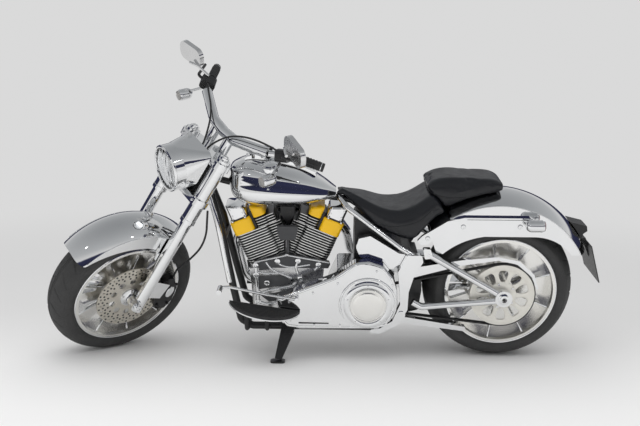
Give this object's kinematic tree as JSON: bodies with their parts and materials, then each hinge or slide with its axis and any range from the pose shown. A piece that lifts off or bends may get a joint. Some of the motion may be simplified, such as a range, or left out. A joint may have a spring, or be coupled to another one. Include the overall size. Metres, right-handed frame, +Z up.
{
  "type": "cruiser motorcycle",
  "caption": "Heavy cruiser motorcycle with a V-twin engine, wide tyres, headlight nacelle, cast wheels, footboards and a low two-piece seat, leaning on its side stand.",
  "frame": {"origin": "middle of the bounding box in plan, on the ground", "axes": "+X forward, +Y to the machine's left, +Z up; the machine leans 10.25 degrees to the left on its side stand"},
  "size_m": [2.3507, 0.8411, 1.3696],
  "materials": {
    "bright_plate": "polished",
    "chrome": "polished",
    "polished_alloy": "polished",
    "black_metal": "satin",
    "yellow_metal": "satin",
    "dark_cover": "satin",
    "disc_steel": "satin",
    "pulley_finish": "satin",
    "seat_leather": "matte",
    "black_rubber": "matte",
    "tyre_rubber": "matte",
    "black_plastic": "matte",
    "lamp_glass": "polished",
    "dark_lamp": "gloss",
    "plate_face": "satin"
  },
  "bodies": {
    "frame": {"frame_tubes": "black_metal", "rear_frame": "polished_alloy", "swing_arm": "polished_alloy", "engine_case": "polished_alloy", "cylinders": "black_metal", "cylinder_heads": "yellow_metal", "rocker_covers": "chrome", "horn_cover": "dark_cover", "primary_cover": "polished_alloy", "derby_cover": "chrome", "gearbox": "black_metal", "cam_cover": "polished_alloy", "air_cleaner": "chrome", "exhaust": "chrome", "fuel_tank": "bright_plate", "tank_console": "chrome", "rider_seat": "seat_leather", "pillion_seat": "seat_leather", "rear_fender": "bright_plate", "fender_struts": "chrome", "rear_turn_signals": "chrome", "tail_light": "dark_lamp", "number_plate": "plate_face", "battery_box": "black_plastic", "side_covers": "chrome", "splash_guard": "black_plastic", "belt_guards": "chrome", "footboards": "black_rubber", "foot_controls": "chrome", "rear_caliper": "black_metal", "drive_belt": "black_rubber"},
    "fork": {"headlight_nacelle": "bright_plate", "headlight": "lamp_glass", "front_turn_signals": "chrome", "fork_legs": "chrome", "triple_clamps": "black_metal", "handlebar": "chrome", "grips": "black_rubber", "hand_controls": "black_metal", "mirrors": "chrome", "front_fender": "bright_plate", "front_caliper": "black_metal", "brake_hose": "black_rubber", "control_cables": "black_rubber"},
    "front_wheel": {"front_tyre": "tyre_rubber", "front_rim": "polished_alloy", "front_disc": "disc_steel"},
    "rear_wheel": {"rear_tyre": "tyre_rubber", "rear_rim": "polished_alloy", "rear_disc": "disc_steel", "rear_pulley": "pulley_finish"},
    "side_stand": {"side_stand": "black_metal"}
  },
  "joints": [
    {"name": "steering", "type": "hinge", "parent": "frame", "child": "fork", "pos_m": [0.52624, -0.01082, 0.78506], "axis": [-0.5125, 0.1525, 0.845], "range_deg": [-80, 0]},
    {"name": "front_wheel_spin", "type": "hinge", "parent": "fork", "child": "front_wheel", "pos_m": [0.88366, -0.04549, 0.29806], "axis": [-0.575, 0.67, -0.4697], "continuous": true},
    {"name": "rear_wheel_spin", "type": "hinge", "parent": "frame", "child": "rear_wheel", "pos_m": [-0.76405, -0.09517, 0.32245], "axis": [-0.0005, 0.984, -0.1779], "continuous": true},
    {"name": "stand_fold", "type": "hinge", "parent": "frame", "child": "side_stand", "pos_m": [0.1474, 0.03202, 0.13516], "axis": [0.1455, 0.9042, 0.4015], "range_deg": [0, 87.7]}
  ]
}
